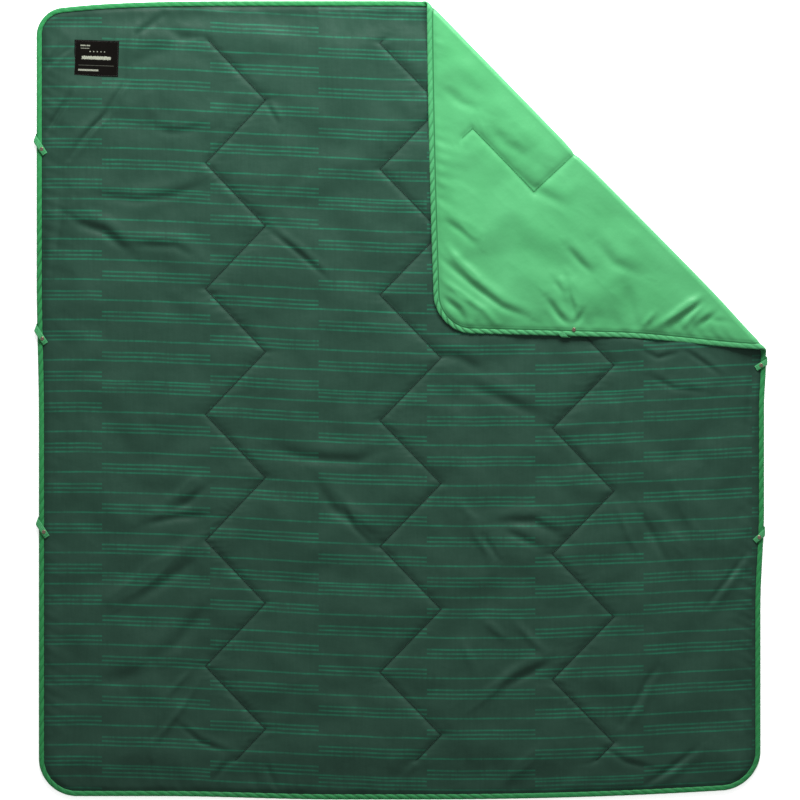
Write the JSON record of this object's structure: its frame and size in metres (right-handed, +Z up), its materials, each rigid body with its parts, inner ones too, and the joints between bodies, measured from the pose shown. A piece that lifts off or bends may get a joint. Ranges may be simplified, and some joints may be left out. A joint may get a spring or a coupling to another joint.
{
  "type": "camp blanket",
  "caption": "Quilted synthetic camp blanket lying flat with one corner turned over; bound edge, zigzag quilting, sewn label and snap loops on both long sides.",
  "frame": {"origin": "centre of the blanket's outline, on the surface that it lies on", "axes": "+X across the blanket, to the right as the label reads; +Y along its length, towards the end with the label; +Z up, out of the printed face"},
  "size_m": [1.8269, 1.9876, 0.0243],
  "materials": {
    "printed_fabric": "satin",
    "reverse_fabric": "satin",
    "batting": "matte",
    "binding": "satin",
    "thread": "satin",
    "label": "matte",
    "label_thread": "matte",
    "tape": "matte",
    "snap": "satin"
  },
  "bodies": {
    "blanket": {"bottom_shell": "reverse_fabric", "batting": "batting", "top_shell": "printed_fabric", "binding_main": "binding", "bottom_shell_fold": "reverse_fabric", "batting_fold": "batting", "top_shell_fold": "printed_fabric", "binding_fold_top": "binding", "binding_fold_right": "binding", "label_patch": "label", "label_stitching": "label_thread", "quilting_thread_a": "thread", "quilting_thread_b": "thread", "quilting_thread_c": "thread", "loop_left_1_anchor": "tape", "loop_left_1_rivet": "snap", "loop_left_1_stud": "snap", "loop_left_2_anchor": "tape", "loop_left_2_rivet": "snap", "loop_left_2_stud": "snap", "loop_left_3_anchor": "tape", "loop_left_3_rivet": "snap", "loop_left_3_stud": "snap", "loop_right_2_anchor": "tape", "loop_right_2_rivet": "snap", "loop_right_2_stud": "snap", "loop_right_3_anchor": "tape", "loop_right_3_rivet": "snap", "loop_right_3_stud": "snap"},
    "corner_flap": {"bottom_shell_flap": "reverse_fabric", "batting_flap": "batting", "top_shell_flap": "printed_fabric", "binding_flap": "binding", "quilting_thread_c_flap": "thread", "loop_right_1_tape": "tape", "loop_right_1_anchor": "tape", "loop_right_1_rivet": "snap", "loop_right_1_stud": "snap", "loop_right_1_socket": "snap", "loop_right_1_cap": "snap"},
    "loop_left_1_free": {"loop_left_1_tape": "tape", "loop_left_1_socket": "snap", "loop_left_1_cap": "snap"},
    "loop_left_2_free": {"loop_left_2_tape": "tape", "loop_left_2_socket": "snap", "loop_left_2_cap": "snap"},
    "loop_left_3_free": {"loop_left_3_tape": "tape", "loop_left_3_socket": "snap", "loop_left_3_cap": "snap"},
    "loop_right_2_free": {"loop_right_2_tape": "tape", "loop_right_2_socket": "snap", "loop_right_2_cap": "snap"},
    "loop_right_3_free": {"loop_right_3_tape": "tape", "loop_right_3_socket": "snap", "loop_right_3_cap": "snap"}
  },
  "joints": [
    {"name": "corner_fold", "type": "hinge", "parent": "blanket", "child": "corner_flap", "pos_m": [0.0681, 0.9899, 0.01215], "axis": [-0.6978, 0.7163, 0], "range_deg": [0, 180], "deforming": ["bottom_shell_fold", "batting_fold", "top_shell_fold", "binding_fold_top", "binding_fold_right"]},
    {"name": "loop_left_1_open", "type": "hinge", "parent": "blanket", "child": "loop_left_1_free", "pos_m": [-0.9081, 0.64775, 0.0086], "axis": [-0.342, -0.9397, 0], "range_deg": [0, 165]},
    {"name": "loop_left_2_open", "type": "hinge", "parent": "blanket", "child": "loop_left_2_free", "pos_m": [-0.90652, 0.176, 0.0086], "axis": [-0.342, -0.9397, 0], "range_deg": [0, 165]},
    {"name": "loop_left_3_open", "type": "hinge", "parent": "blanket", "child": "loop_left_3_free", "pos_m": [-0.9026, -0.305, 0.0086], "axis": [-0.342, -0.9397, 0], "range_deg": [0, 165]},
    {"name": "loop_right_2_open", "type": "hinge", "parent": "blanket", "child": "loop_right_2_free", "pos_m": [0.9091, 0.094, 0.0086], "axis": [0, 1, 0], "range_deg": [0, 130]},
    {"name": "loop_right_3_open", "type": "hinge", "parent": "blanket", "child": "loop_right_3_free", "pos_m": [0.90321, -0.332, 0.0086], "axis": [0, 1, 0], "range_deg": [0, 130]}
  ]
}
